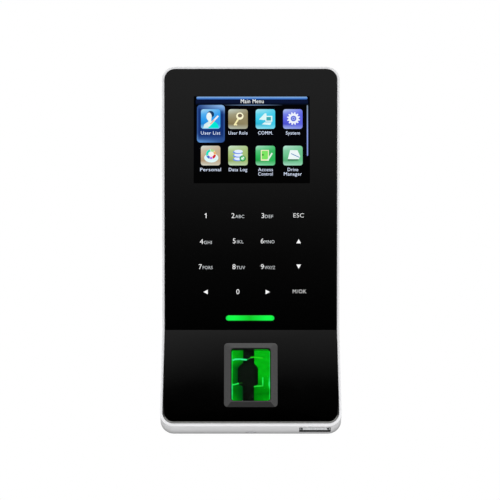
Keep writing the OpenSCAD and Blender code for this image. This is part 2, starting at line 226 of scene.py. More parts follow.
def surface(name, colour, rough, metallic=0.0, specular=0.5, coat=0.0, spread=0.06,
            mottle=0.06, mottle_size=3.0, grain=0.004, grain_size=0.25):
    """A painted, moulded or plated surface with uneven colour and gloss, and a fine grain."""
    material, tree, shader = new_material(name)
    lumps = noise(tree, mottle_size)
    tones = [(0.3, shade(colour, 1 - mottle)), (0.7, shade(colour, 1 + mottle))]
    join(tree, ramp(tree, lumps, tones), shader, "Base Color")
    join(tree, span(tree, noise(tree, mottle_size * 1.7), 0.3, 0.7, rough - spread, rough + spread),
         shader, "Roughness")
    shader.inputs["Metallic"].default_value = metallic
    shader.inputs["Specular IOR Level"].default_value = specular
    shader.inputs["Coat Weight"].default_value = coat
    shader.inputs["Coat Roughness"].default_value = 0.12
    add_grain(tree, shader, grain_size, grain)
    return material


def housing_paint():
    """Silver paint, with painted shade that darkens it towards the rear rim."""
    material = surface("silver", (0.76, 0.76, 0.775), 0.34, metallic=0.1, coat=0.35,
                       mottle=0.025, mottle_size=0.3, grain=0.0015, grain_size=0.2)
    tree = material.node_tree
    shader = tree.nodes["Principled BSDF"]
    depth = add(tree, "SeparateXYZ", Vector=object_place(tree)).outputs["Y"]
    # Painted shade: the paint's colour falls off towards the rear rim.
    rear_shade = ramp(tree, span(tree, depth, -15 * MM, 0.0),
                [(0.0, (1.0,) * 3), (0.4, (0.85,) * 3), (0.7, (0.55,) * 3), (1.0, (0.1,) * 3)])
    paint = shader.inputs["Base Color"].links[0].from_socket
    join(tree, tinted(tree, paint, rear_shade), shader, "Base Color")
    return material


def galvanised_steel():
    """Zinc coat with its crystal pattern."""
    material, tree, shader = new_material("galvanised")
    cells = add(tree, "TexVoronoi", Vector=object_place(tree), Scale=1 / (5.0 * MM))
    tone = add(tree, "SeparateColor", Color=cells.outputs["Color"]).outputs["Red"]
    join(tree, ramp(tree, tone, [(0.0, (0.48, 0.50, 0.52)), (1.0, (0.61, 0.63, 0.65))]),
         shader, "Base Color")
    join(tree, span(tree, tone, 0, 1, 0.34, 0.44), shader, "Roughness")
    shader.inputs["Metallic"].default_value = 1.0
    add_grain(tree, shader, 0.6, 0.006)
    return material


def black_acrylic():
    """Polished black sheet with the faintest haze of specks under the gloss."""
    material, tree, shader = new_material("acrylic")
    specks = noise(tree, 0.35, 2.0)
    join(tree, ramp(tree, specks, [(0.35, (0.0,) * 3), (0.75, (0.0003,) * 3)]),
         shader, "Base Color")
    join(tree, span(tree, noise(tree, 9.0), 0.35, 0.7, 0.015, 0.03), shader, "Roughness")
    shader.inputs["IOR"].default_value = 1.49
    return material


def circuit_board():
    """Green solder mask over a web of tracks."""
    material, tree, shader = new_material("board")
    tracks = add(tree, "TexVoronoi", Vector=object_place(tree), Scale=1 / (2.2 * MM))
    tracks.distance = "CHEBYCHEV"
    lines = math_node(tree, "PINGPONG", tracks.outputs["Distance"], 0.16)
    tones = [(0.04, (0.012, 0.10, 0.035)), (0.09, (0.006, 0.055, 0.02))]
    join(tree, ramp(tree, lines, tones), shader, "Base Color")
    join(tree, span(tree, noise(tree, 2.0), 0.3, 0.7, 0.25, 0.4), shader, "Roughness")
    bump = add(tree, "Bump", Height=lines, Distance=0.02 * MM, Strength=0.6)
    join(tree, bump.outputs["Normal"], shader, "Normal")
    return material


def flex_circuit():
    """Amber film with copper lines running along it."""
    material, tree, shader = new_material("flex")
    waves = add(tree, "TexWave", Vector=object_place(tree), Scale=1 / (20.0 * MM))
    waves.bands_direction = "X"
    tones = [(0.35, (0.24, 0.10, 0.02)), (0.65, (0.55, 0.26, 0.06))]
    join(tree, ramp(tree, waves.outputs["Fac"], tones), shader, "Base Color")
    join(tree, span(tree, noise(tree, 1.0), 0.3, 0.7, 0.3, 0.5), shader, "Roughness")
    return material


def display_glass():
    """The unlit module behind the acrylic, with its cell grid."""
    material, tree, shader = new_material("display_cells")
    cells = add(tree, "TexVoronoi", Vector=object_place(tree), Scale=1 / (0.3 * MM))
    tone = cells.outputs["Distance"]
    join(tree, ramp(tree, tone, [(0.0, (0.006, 0.007, 0.009)), (1.0, (0.014, 0.015, 0.018))]),
         shader, "Base Color")
    join(tree, span(tree, noise(tree, 6.0), 0.3, 0.7, 0.08, 0.16), shader, "Roughness")
    return material


def sensor_glass():
    """Clear optical glass with a trace of handling marks in its gloss."""
    material, tree, shader = new_material("clear_glass")
    join(tree, ramp(tree, noise(tree, 5.0), [(0.3, (0.94, 0.98, 0.95)), (0.7, (1.0, 1.0, 1.0))]),
         shader, "Base Color")
    join(tree, span(tree, noise(tree, 3.0), 0.45, 0.8, 0.0, 0.05), shader, "Roughness")
    shader.inputs["Transmission Weight"].default_value = 1.0
    shader.inputs["IOR"].default_value = 1.12
    return material


def light_guide():
    """The status bar: brightest over the two LEDs, dimmer in its middle and at its edges."""
    material, tree, shader = new_material("light_bar")
    low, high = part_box("light_bar")
    mid = (low + high) / 2
    place = add(tree, "SeparateXYZ", Vector=object_place(tree))
    along = span(tree, place.outputs["X"], low.x, high.x)
    tip = rgb(15, 190, 70)
    lit = rgb(0, 250, 65)
    waist = rgb(0, 195, 25)
    glow = ramp(tree, along, [(0.04, tip), (0.1, lit), (0.2, lit), (0.5, waist), (0.8, lit),
                              (0.9, lit), (0.96, tip)])
    above = math_node(tree, "SUBTRACT", place.outputs["Z"], mid.z)
    edge = ramp(tree, span(tree, above, -1.3 * MM, 1.3 * MM), [
        (0.0, (0.10, 0.16, 0.4)), (0.2, (1.0, 1.0, 1.0)),
        (0.86, (1.0, 1.0, 1.0)), (1.0, (0.4, 0.4, 0.6))])
    join(tree, tinted(tree, glow, edge), shader, "Emission Color")
    shader.inputs["Emission Strength"].default_value = 1.0
    tones = [(0.3, (0.0, 0.03, 0.004)), (0.7, (0.0, 0.05, 0.008))]
    join(tree, ramp(tree, noise(tree, 0.5), tones), shader, "Base Color")
    shader.inputs["Roughness"].default_value = 0.25
    shader.inputs["Specular IOR Level"].default_value = 0.2
    return material


TINT = "tint"                    # name of the colours that a lit mesh carries


def lit_print(name, unevenness, gloss, strength=1.0):
    """Print lit from behind, in the colours that its mesh carries."""
    material, tree, shader = new_material(name)
    tint = tree.nodes.new("ShaderNodeVertexColor")
    tint.layer_name = TINT
    lumps = noise(tree, 1.5)
    tones = [(0.3, (1 - unevenness,) * 3), (0.7, (1.0,) * 3)]
    join(tree, tinted(tree, tint.outputs["Color"], ramp(tree, lumps, tones)), shader,
         "Emission Color")
    shader.inputs["Emission Strength"].default_value = strength
    shader.inputs["Base Color"].default_value = (0.0, 0.0, 0.0, 1.0)
    shader.inputs["Roughness"].default_value = 0.2
    shader.inputs["Specular IOR Level"].default_value = gloss
    return material


MATERIALS = {
    "galvanised_steel": galvanised_steel(),
    "rear_plastic": surface("moulded_back", (0.045, 0.046, 0.05), 0.52, grain=0.012),
    "silver_paint": housing_paint(),
    "black_acrylic": black_acrylic(),
    "adhesive_tape": surface("tape", (0.02, 0.02, 0.02), 0.8, grain=0.02, grain_size=0.3),
    "green_light": light_guide(),
    "led_lens": surface("led_white", (0.8, 0.78, 0.7), 0.25, grain=0.002),
    "display": display_glass(),
    "plated_steel": surface("plated", (0.56, 0.57, 0.58), 0.28, metallic=1.0,
                            mottle=0.08, mottle_size=0.8, grain=0.002),
    "flex_circuit": flex_circuit(),
    "connector_plastic": surface("ivory", (0.72, 0.68, 0.56), 0.45, grain=0.006),
    "diffuser": surface("milky", (0.85, 0.85, 0.84), 0.55, grain=0.004),
    "circuit_board": circuit_board(),
    "copper": surface("copper_foil", (0.78, 0.36, 0.2), 0.3, metallic=1.0, mottle=0.12),
    "chip_plastic": surface("epoxy", (0.02, 0.02, 0.022), 0.5, grain=0.01, grain_size=0.1),
    "gilt_metal": surface("gilt", (0.85, 0.62, 0.25), 0.25, metallic=1.0),
    "relay_plastic": surface("relay_blue", (0.02, 0.06, 0.3), 0.35, grain=0.004),
    "tongue_plastic": surface("tongue", (0.55, 0.56, 0.55), 0.4, grain=0.004, grain_size=0.12),
    "grey_plastic": surface("bezel_grey", (0.042, 0.042, 0.042), 0.5, specular=0.2, mottle=0.12,
                            mottle_size=0.6, grain=0.006, grain_size=0.18),
    "seal_rubber": surface("rubber", (0.008, 0.008, 0.008), 0.7, specular=0.05, grain=0.006,
                           grain_size=0.12),
    "sensor_glass": sensor_glass(),
    "chamber_plastic": surface("chamber", (0.0015, 0.004, 0.002), 0.8, specular=0.05, grain=0.008),
    "lens_barrel": surface("barrel", (0.01, 0.01, 0.011), 0.3, grain=0.003),
    "screw_steel": surface("screws", (0.52, 0.52, 0.54), 0.3, metallic=1.0, mottle=0.1,
                           mottle_size=0.5, grain=0.003),
    "plunger_plastic": surface("plunger", (0.42, 0.03, 0.025), 0.4, grain=0.006),
}

SCREEN = lit_print("screen_light", 0.05, 0.04)
WORDS = lit_print("word_light", 0.05, 0.04, 1.6)
LEGEND = lit_print("legend_light", 0.12, 0.3, 1.5)
GLOW = lit_print("guide_light", 0.25, 0.0)
# Painted shade: a darker grey put on the sensor bezel's downward faces.
BEZEL_PAINTED_SHADE = surface("bezel_painted_shade", (0.014, 0.014, 0.014), 0.5, specular=0.2, mottle=0.12,
                      mottle_size=0.6, grain=0.006, grain_size=0.18)
# Painted highlight: a light grey put on the sensor panel's downward faces, along its lower rim.
EDGE_PAINTED_HIGHLIGHT = surface("edge_painted_highlight", (0.2, 0.2, 0.19), 0.25, mottle=0.1, mottle_size=0.8)


def dress_cad_nodes():
    """Gives each CAD node the procedural finish of its material slot."""
    for node in frame["nodes"].values():
        for place in node.material_slots:
            place.material = MATERIALS[place.material.name.split(".")[0]]


# ---------- pieces ----------

def add_piece(name, bm, material, body="terminal"):
    """Puts a finished mesh in the scene, riding on its body."""
    mesh = bpy.data.meshes.new(name)
    bm.to_mesh(mesh)
    bm.free()
    mesh.materials.append(material)
    piece = bpy.data.objects.new(name, mesh)
    bpy.context.scene.collection.objects.link(piece)
    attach(piece, body)
    return piece


SHARP = math.radians(32)         # an edge that bends more than this stays crisp
WELD = 1e-6                      # metres within which corners are one
FLAT = 0.01                      # radians within which faces are one
DOWNWARD = -0.15                 # z of a normal below which a side counts as facing down


def bends_out(edge):
    """True for an edge where two faces meet in a sharp outer corner."""
    return edge.is_manifold and edge.calc_face_angle_signed(0.0) > SHARP


def hard_edges(bm):
    return [edge for edge in bm.edges if bends_out(edge)]


def rim(facing, where):
    """Picks the sharp edges of faces that look along facing; where tests place and side wall."""
    facing = Vector(facing)

    def pick(bm):
        chosen = []
        for edge in filter(bends_out, bm.edges):
            place = (edge.verts[0].co + edge.verts[1].co) / 2 / MM
            one, other = edge.link_faces
            for face, wall in ((one, other), (other, one)):
                if face.normal.dot(facing) > 0.9 and where(place, wall.normal):
                    chosen.append(edge)
                    break
        return chosen

    return pick


def looks_out(place, normal):
    """True if a side wall at place looks away from the middle of the body."""
    return normal.x * place.x + normal.z * place.z > 0


def set_shading(bm):
    """Smooth faces, split along the sharp edges."""
    for face in bm.faces:
        face.smooth = True
    for edge in bm.edges:
        edge.smooth = not edge.is_manifold or edge.calc_face_angle(0.0) < SHARP


def refine(node, *bevels, painted_underside=None):
    """A finer copy of a CAD node, its picked edges rounded: bevels are (pick, width, steps).

    A second material of painted shade or painted highlight goes on the sides that face down.
    """
    source = frame["nodes"][node]
    bm = bmesh.new()
    bm.from_mesh(source.data)
    bmesh.ops.remove_doubles(bm, verts=bm.verts, dist=WELD)
    bmesh.ops.dissolve_limit(bm, angle_limit=FLAT, verts=bm.verts, edges=bm.edges)
    for pick, width, steps in bevels:
        bmesh.ops.bevel(bm, geom=pick(bm), offset=width * MM, segments=steps, profile=0.5,
                        affect="EDGES", clamp_overlap=True)
    bm.normal_update()
    set_shading(bm)
    piece = add_piece(node + "_fine", bm, source.material_slots[0].material,
                      body_of(source)[0])
    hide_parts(node)
    if painted_underside:
        piece.data.materials.append(painted_underside)
        for face in piece.data.polygons:
            if face.normal.z < DOWNWARD:
                face.material_index = 1
    weighted = piece.modifiers.new("even_shading", "WEIGHTED_NORMAL")
    weighted.keep_sharp = True


def refine_shells():
    """The housing, panels and other outer parts, with the edges that moulding leaves on them."""
    lip = PANEL_Y + 1.0
    floor_z = box_mm("housing")[0].z
    low_z = floor_z + 7
    usb_low, usb_high = box_mm("usb_shell")

    def at_usb(place, normal):
        return usb_low.x - 1 < place.x < usb_high.x + 1 and place.z < floor_z + 0.5

    def at_screw(place, normal):
        return abs(place.x) < 4 and place.z < floor_z + 0.5

    refine("housing",
           (rim((0, -1, 0), lambda p, n: p.y < lip and looks_out(p, n)), 0.55, 4),
           (rim((0, 1, 0), lambda p, n: p.y > -1 and looks_out(p, n)), 0.3, 3),
           (rim((0, -1, 0), lambda p, n: p.y < lip and not looks_out(p, n)), 0.15, 2),
           (rim((0, 0, -1), at_usb), 0.15, 2),
           (rim((0, 0, -1), at_screw), 0.2, 2))
    refine("display_panel",
           (rim((0, -1, 0), lambda p, n: looks_out(p, n) and p.z > CREASE_Z + 1), 0.15, 2),
           (rim((0, -1, 0), lambda p, n: True), 0.1, 2))
    # The sensor panel's downward faces get a painted highlight.
    refine("sensor_panel",
           (rim((0, -1, 0), lambda p, n: looks_out(p, n) and p.z < low_z), 0.7, 4),
           (rim((0, -1, 0), lambda p, n: looks_out(p, n) and p.z < CREASE_Z - 0.5), 0.15, 2),
           (rim((0, -1, 0), lambda p, n: True), 0.1, 2), painted_underside=EDGE_PAINTED_HIGHLIGHT)
    # The bezel's downward faces get painted shade.
    refine("sensor_bezel", (hard_edges, 0.25, 3), painted_underside=BEZEL_PAINTED_SHADE)
    for node, width in (("light_bar", 0.35), ("sensor_seal", 0.08),
                        ("sensor_window", 0.08), ("sensor_body", 0.2), ("sensor_lens", 0.3),
                        ("usb_shell", 0.06), ("usb_tongue", 0.15), ("usb_gasket", 0.1),
                        ("security_screw", 0.3),
                        ("rear_cover", 0.25), ("wall_plate", 0.2), ("cable_sockets", 0.2),
                        ("tamper_plunger", 0.25), ("reset_button", 0.2), ("case_screws", 0.2)):
        refine(node, (hard_edges, width, 3))


# ---------- print and lit layers ----------

def arc(x, z, across, up, start, end, steps=10):
    """Points of an elliptical arc, with its angles in degrees."""
    angles = [math.radians(start + (end - start) * i / steps) for i in range(steps + 1)]
    return [(x + across * math.cos(a), z + up * math.sin(a)) for a in angles]


def disc(x, z, across, up=None, steps=20):
    return arc(x, z, across, up or across, 0, 360 * (steps - 1) / steps, steps - 1)


def box_points(x0, z0, x1, z1):
    return [(x0, z0), (x1, z0), (x1, z1), (x0, z1)]


def bar_points(x0, z0, x1, z1, width):
    """A straight bar between two points."""
    along = Vector((x1 - x0, z1 - z0)).normalized() * (width / 2)
    return [(x0 - along.y, z0 + along.x), (x0 + along.y, z0 - along.x),
            (x1 + along.y, z1 - along.x), (x1 - along.y, z1 + along.x)]


def between(stops, share):
    """The colour a share of the way through evenly spaced colours."""
    place = min(max(share, 0.0), 1.0) * (len(stops) - 1)
    i = min(int(place), len(stops) - 2)
    return tuple(a + (b - a) * (place - i) for a, b in zip(stops[i], stops[i + 1]))


def letters(words):
    """Flat letter shapes as a mesh, with their foot on y = 0."""
    curve = bpy.data.curves.new("words", "FONT")
    curve.body = words
    curve.resolution_u = 3
    curve.space_character = 1.08
    holder = bpy.data.objects.new("words", curve)
    bpy.context.scene.collection.objects.link(holder)
    graph = bpy.context.evaluated_depsgraph_get()
    mesh = bpy.data.meshes.new_from_object(holder.evaluated_get(graph))
    bpy.data.objects.remove(holder)
    bpy.data.curves.remove(curve)
    flat = bmesh.new()
    flat.from_mesh(mesh)
    bpy.data.meshes.remove(mesh)
    bmesh.ops.remove_doubles(flat, verts=flat.verts, dist=1e-5)
    return flat


def extent(points):
    return min(points), max(points)


def capital_height():
    flat = letters("H")
    low, high = extent([v.co.y for v in flat.verts])
    flat.free()
    return high - low


CAPITAL = capital_height()


class Print:
    """Thin closed plates with a colour at each corner, gathered into one mesh.

    They are drawn by x and z in a plane. Level 0 lies on the plane's face and each further
    level stands one step in front of it, so shapes that overlap never touch.
    """

    step = 0.012
    thickness = 0.009
    gap = 0.002                  # from the plane to the first plate

    def __init__(self, place=Matrix(), face=0.0):
        self.place = place
        self.face = face
        self.bm = bmesh.new()
        self.tint = self.bm.verts.layers.float_color.new(TINT)

    def point(self, x, z, depth, colour):
        vert = self.bm.verts.new((self.place @ Vector((x, depth, z))) * MM)
        vert[self.tint] = (*colour, 1.0)
        return vert

    def depths(self, level):
        back = self.face - self.gap - level * self.step
        return back - self.thickness, back

    def strip(self, rows, level=0):
        """A plate through cross rows (z, left x, right x, left colour, right colour)."""
        front, back = self.depths(level)
        loops = []
        for z, x0, x1, left, right in rows:
            loops.append([self.point(x0, z, front, left), self.point(x1, z, front, right),
                          self.point(x1, z, back, right), self.point(x0, z, back, left)])
        for one, two in zip(loops, loops[1:]):
            for i in range(4):
                j = (i + 1) % 4
                self.bm.faces.new((one[i], one[j], two[j], two[i]))
        self.bm.faces.new(loops[0])
        self.bm.faces.new(reversed(loops[-1]))

    def shape(self, outline, colour, level=0):
        """A plate of one colour."""
        front, back = self.depths(level)
        near = [self.point(x, z, front, colour) for x, z in outline]
        far = [self.point(x, z, back, colour) for x, z in outline]
        self.bm.faces.new(near)
        self.bm.faces.new(reversed(far))
        for i, j in zip(range(len(near)), [*range(1, len(near)), 0]):
            self.bm.faces.new((near[i], near[j], far[j], far[i]))

    def tile(self, x, z, width, height, radius, left, right=None, level=0):
        """A rounded rectangle whose colours run down it, each side through its own stops."""
        right = right or left
        arcs = [i / 4 * math.pi / 2 for i in range(5)]
        corner = [(radius * (1 - math.sin(a)), radius * (1 - math.cos(a))) for a in arcs]
        drops = [(down, inset) for inset, down in corner]
        drops.sort()
        body = [(height * i / 12, 0.0) for i in range(1, 12)
                if radius < height * i / 12 < height - radius]
        bottom = [(height - down, inset) for down, inset in reversed(drops)]
        rows = []
        for down, inset in drops + body + bottom:
            share = down / height
            rows.append((z + height / 2 - down, x - width / 2 + inset, x + width / 2 - inset,
                         between(left, share), between(right, share)))
        self.strip(rows, level)

    def text(self, words, x, foot, height, colour, level=0, width=None, side="mid"):
        """A line of letters with its foot at z = foot; height is a capital's, x its middle."""
        flat = letters(words)
        low, high = extent([v.co.x for v in flat.verts])
        grow = height / CAPITAL
        squeeze = width / (high - low) if width else grow
        start = {"mid": x - squeeze * (low + high) / 2, "left": x - squeeze * low}[side]
        front, back = self.depths(level)
        near, far = [], []
        for vert in flat.verts:
            rise = max(vert.co.y, 0.0) if words.isupper() else vert.co.y
            spot = (start + vert.co.x * squeeze, foot + rise * grow)
            near.append(self.point(*spot, front, colour))
            far.append(self.point(*spot, back, colour))
        flat.verts.index_update()
        for face in flat.faces:
            ring = [v.index for v in face.verts]
            self.bm.faces.new([near[i] for i in ring])
            self.bm.faces.new([far[i] for i in reversed(ring)])
        for edge in flat.edges:
            if len(edge.link_faces) == 1:
                i, j = (v.index for v in edge.verts)
                self.bm.faces.new((near[i], near[j], far[j], far[i]))
        flat.free()
        return start + squeeze * high

    def finish(self, name, material):
        """Turns the plates into one piece of the terminal."""
        bmesh.ops.recalc_face_normals(self.bm, faces=self.bm.faces)
        add_piece(name, self.bm, material)


# ---------- display ----------

TILE_W = 8.45
TILE_H = 8.75
TILE_R = 1.1
TILE_DX = 11.9
TILE_DZ = 16.3
FIRST_TILE = (LCD_AT.x - 17.85, LCD_AT.z + 9.0)
WHITE = rgb(235, 240, 240)
BRIGHT = shade(WHITE, 1.3)
LABEL = rgb(190, 200, 220)
LABEL_H = 1.45
LABEL_DROP = 2.55                # from a tile's foot to the foot of its first word
LABEL_LINE = 1.95


def person_icon(layer, x, z):
    """A figure with a pencil."""
    layer.shape(arc(x + 0.6, z - 4.0, 2.9, 3.0, 0, 180), rgb(0, 235, 215), 3)
    layer.shape([(x - 3.2, z - 4.0), (x - 2.8, z - 2.4), (x - 1.4, z - 1.4), (x - 0.2, z - 1.4),
                 (x - 1.0, z - 4.0)], rgb(215, 240, 240), 4)
    layer.shape(disc(x + 0.0, z + 2.1, 1.5, 1.5), rgb(20, 60, 105), 3)
    layer.shape(disc(x - 0.7, z + 1.1, 1.15, 1.8), rgb(240, 250, 250), 5)
    layer.shape(box_points(x - 1.0, z - 1.7, x + 0.3, z + 0.2), rgb(230, 245, 240), 4)
    layer.shape(bar_points(x - 0.9, z - 3.2, x + 3.3, z + 1.4, 0.75), rgb(245, 240, 245), 6)
    layer.shape(bar_points(x - 0.1, z - 2.3, x + 1.6, z - 0.45, 0.4), rgb(255, 150, 90), 7)


def key_icon(layer, x, z):
    layer.shape(bar_points(x + 0.5, z + 0.6, x - 1.6, z - 2.8, 0.75), rgb(250, 240, 180), 3)
    layer.shape(bar_points(x - 1.1, z - 2.3, x - 0.4, z - 2.75, 0.55), rgb(250, 240, 180), 4)
    layer.shape(disc(x + 0.8, z + 1.3, 1.6, 1.6), rgb(255, 250, 210), 5)
    layer.shape(disc(x + 0.85, z + 1.5, 0.95, 0.85), rgb(120, 105, 85), 6)


def network_icon(layer, x, z):
    """Two linked computers."""
    pale = rgb(225, 250, 250)
    layer.shape([(x - 2.8, z - 0.2), (x - 0.3, z + 2.5), (x + 0.4, z + 2.5), (x + 0.7, z - 0.1),
                 (x - 0.6, z - 0.5)], pale, 3)
    layer.shape([(x - 1.6, z - 2.4), (x + 2.1, z - 2.7), (x + 2.7, z - 1.5), (x - 0.4, z - 1.5)],
                pale, 3)
    layer.shape(box_points(x + 0.0, z - 1.2, x + 3.0, z + 1.4), pale, 4)
    layer.shape(box_points(x + 0.45, z - 0.7, x + 2.4, z + 0.9), rgb(60, 170, 175), 5)


def gear_icon(layer, x, z):
    points = []
    for i in range(12):
        for turn, radius in ((0.0, 2.2), (0.22, 2.2), (0.38, 2.85), (0.72, 2.85), (0.88, 2.2)):
            angle = (i + turn) * math.pi / 6
            points.append((x + 0.3 + radius * math.cos(angle), z + 0.2 + radius * math.sin(angle)))
    layer.shape(points, rgb(240, 245, 255), 3)
    layer.shape(disc(x + 0.3, z + 0.2, 1.25), rgb(95, 110, 220), 4)
    layer.shape(disc(x + 0.3, z + 0.2, 0.7), rgb(170, 180, 235), 5)
    layer.shape(disc(x + 0.3, z + 0.2, 0.4), rgb(95, 110, 220), 6)


def wheel_icon(layer, x, z):
    """A colour wheel."""
    layer.shape(disc(x + 0.3, z - 1.0, 3.1, 2.1), rgb(225, 250, 250), 3)
    layer.shape(disc(x + 0.2, z + 0.6, 2.2), rgb(250, 245, 240), 4)
    for start, end, colour in ((100, 200, rgb(10, 225, 200)), (205, 250, rgb(60, 110, 205)),
                               (255, 290, rgb(190, 120, 240)), (295, 350, rgb(215, 20, 45)),
                               (355, 400, rgb(240, 185, 120)), (45, 95, rgb(170, 220, 140))):
        outer = arc(x + 0.2, z + 0.6, 2.2, 2.2, start, end, 6)
        inner = arc(x + 0.2, z + 0.6, 1.2, 1.2, end, start, 6)
        layer.shape(outer + inner, colour, 5)


def data_icon(layer, x, z):
    """A stack of discs with a tick."""
    for i in range(3):
        height = z - 1.7 + 1.6 * i
        layer.shape(disc(x - 0.1, height, 2.1, 0.8), rgb(100, 140, 235), 3 + 2 * i)
        layer.shape(disc(x + 0.2, height + 0.35, 1.9, 0.75), rgb(230, 240, 255), 4 + 2 * i)
    layer.shape(disc(x + 2.0, z - 1.3, 1.35), rgb(20, 150, 70), 10)
    layer.shape(disc(x + 2.0, z - 1.3, 0.85), rgb(150, 225, 170), 11)
    layer.shape([(x + 1.4, z - 1.3), (x + 1.8, z - 1.8), (x + 2.8, z - 0.6), (x + 2.5, z - 0.4),
                 (x + 1.8, z - 1.3), (x + 1.6, z - 1.1)], rgb(250, 255, 250), 12)


def door_icon(layer, x, z):
    """A door panel and a pen."""
    layer.shape(box_points(x - 2.0, z - 2.3, x + 1.5, z + 2.5), rgb(245, 240, 200), 3)
    layer.shape(box_points(x - 1.6, z - 1.7, x + 1.1, z + 2.1), rgb(125, 230, 100), 4)
    layer.shape(disc(x - 1.1, z + 0.3, 0.35), rgb(15, 100, 25), 5)
    layer.shape(bar_points(x + 0.9, z - 2.2, x + 2.9, z + 1.1, 0.7), rgb(225, 245, 230), 6)


def drive_icon(layer, x, z):
    layer.shape([(x - 2.2, z - 1.6), (x - 1.2, z + 2.4), (x + 2.0, z + 2.4), (x + 3.2, z - 0.3),
                 (x + 2.6, z - 1.6)], rgb(240, 250, 250), 3)
    layer.shape(bar_points(x - 2.2, z - 1.95, x + 2.4, z - 1.95, 0.45), rgb(15, 80, 50), 3)
    layer.shape(bar_points(x - 0.8, z + 0.9, x + 2.8, z - 0.8, 0.35), rgb(90, 140, 190), 4)


# Each tile's icon, the words under it and its own colour
MENU = [
    (person_icon, [("User List", 8.4)], (30, 150, 240)),
    (key_icon, [("User Role", 8.3)], (140, 125, 85)),
    (network_icon, [("COMM.", 6.4)], (45, 200, 235)),
    (gear_icon, [("System", 6.1)], (80, 85, 225)),
    (wheel_icon, [("Personal", 9.0)], (195, 165, 130)),
    (data_icon, [("Data Log", 8.0)], (160, 185, 105)),
    (door_icon, [("Access", 6.4), ("Control", 6.3)], (30, 175, 75)),
    (drive_icon, [("Drive", 4.6), ("Manager", 7.8)], (95, 190, 130)),
]
GLOSS = (225, 250, 250)
# How far a tile's colour turns to the gloss down each side; below zero it darkens
GLOSS_LEFT = (0.7, 0.3, 0.1, -0.1, 0.6)
GLOSS_RIGHT = (0.25, 0.1, 0.1, 0.1, 0.4)


def glossy(colour, shares):
    """The stops down one side of a glossy tile."""
    stops = []
    for share in shares:
        if share < 0:
            stops.append(rgb(*shade(colour, 1 + share)))
        else:
            stops.append(rgb(*between([colour, GLOSS], share)))
    return stops


def screen_frame(layer):
    """Dark ground, title bar with its words and the line under it, and scroll bar."""
    x, z = LCD_AT.x, LCD_AT.z
    ground = [rgb(1, 1, 3), rgb(2, 2, 5), rgb(1, 1, 1)]
    layer.tile(x, z - 0.2, LIT_W, LIT_H, 0.2, ground)
    top = z + 19.1
    navy = [rgb(10, 20, 50), rgb(10, 20, 50), rgb(0, 5, 10)]
    layer.tile(x + 0.1, top - 2.7, 48.8, 2.2, 0.3, navy, level=1)
    layer.tile(x + 0.1, top - 0.75, 48.2, 1.25, 0.5,
               [rgb(150, 185, 225), rgb(85, 140, 215), rgb(30, 75, 160)], level=1)
    faint = rgb(10, 15, 30)
    light = rgb(120, 150, 190)
    for x0, x1, left, right in ((x - 12.6, x, faint, light), (x, x + 13.4, light, faint)):
        layer.strip([(top - 3.7, x0, x1, left, right), (top - 4.05, x0, x1, left, right)], 2)
    layer.text("Main Menu", x + 0.2, top - 3.0, 1.75, BRIGHT, 3, 9.9)
    layer.tile(x + 24.2, top - 15.2, 0.55, 22.6, 0.25,
               [rgb(125, 145, 165), rgb(140, 160, 230), rgb(130, 150, 215)], level=1)


def highlight(layer):
    """Blue rounded field behind the chosen tile, brightest in its upper right corner."""
    x, z = FIRST_TILE
    deep = rgb(20, 50, 115)
    mid = rgb(45, 80, 145)
    light = rgb(95, 150, 215)
    pale = rgb(145, 190, 240)
    edge_left = [mid, mid, mid, mid, light]
    edge_right = [pale, mid, mid, mid, mid]
    left = [mid, *[deep] * 9, mid, light]
    right = [pale, light, *[deep] * 8, mid, mid]
    layer.tile(x + 0.1, z - 2.1, 12.1, 16.8, 1.5, edge_left, edge_right, level=1)
    layer.tile(x + 0.1, z - 2.1, 10.9, 15.9, 1.2, left, right, level=2)


def display_pieces():
    """The lit picture: ground, tiles with their icons, and words."""
    ground = Print(face=PANEL_Y)
    screen_frame(ground)
    highlight(ground)
    ground.finish("screen_ground", SCREEN)
    above_ground = PANEL_Y - 3 * Print.step
    tiles = Print(face=above_ground)
    words = Print(face=above_ground)
    for i, (icon, labels, colour) in enumerate(MENU):
        x = FIRST_TILE[0] + TILE_DX * (i % 4)
        z = FIRST_TILE[1] - TILE_DZ * (i // 4)
        tiles.tile(x, z, TILE_W, TILE_H, TILE_R, glossy(colour, GLOSS_LEFT),
                   glossy(colour, GLOSS_RIGHT))
        icon(tiles, x, z)
        for line, (label, width) in enumerate(labels):
            foot = z - TILE_H / 2 - LABEL_DROP - LABEL_LINE * line
            words.text(label, x, foot, LABEL_H, LABEL, width=width)
    tiles.finish("menu_icons", SCREEN)
    words.finish("menu_words", WORDS)


# ---------- keypad ----------

PRINT_WHITE = rgb(215, 215, 215)
DIGIT_WHITE = rgb(205, 205, 205)
SMALL_GREY = rgb(175, 178, 180)
DIGIT_W = 1.4
DIGIT_H = 2.15
SMALL_H = 1.38
LETTER_GAP = 0.3                 # between a digit and its small letters
WORD_H = {"ESC": 1.85, "M/OK": 1.62}
WORD_W = {"ESC": 4.5, "M/OK": 5.9}
WORD_SHIFT = {"ESC": 0.0, "M/OK": 0.35}
WORD_TONE = {"ESC": rgb(195, 195, 195), "M/OK": rgb(180, 180, 180)}
# Keys row by row: a digit with the width of its small letters, a word, or an arrow's turn
KEYS = [[("1", "", 0), ("2", "ABC", 3.9), ("3", "DEF", 3.6), "ESC"],
        [("4", "GHI", 3.4), ("5", "JKL", 3.1), ("6", "MNO", 4.3), 0],
        [("7", "PQRS", 4.3), ("8", "TUV", 3.8), ("9", "WXYZ", 4.5), 180],
        [90, ("0", "", 0), 270, "M/OK"]]
# How far the signs stand off their keys' middles: by column, and by digit (aside, up)
COLUMN_SHIFT = (0.0, 0.4, -0.2, -0.3)
NUDGE = {"4": (0.0, -0.3), "5": (0.2, 0.0), "7": (0.0, -0.2), "8": (0.4, -0.2), "9": (0.1, -0.2)}


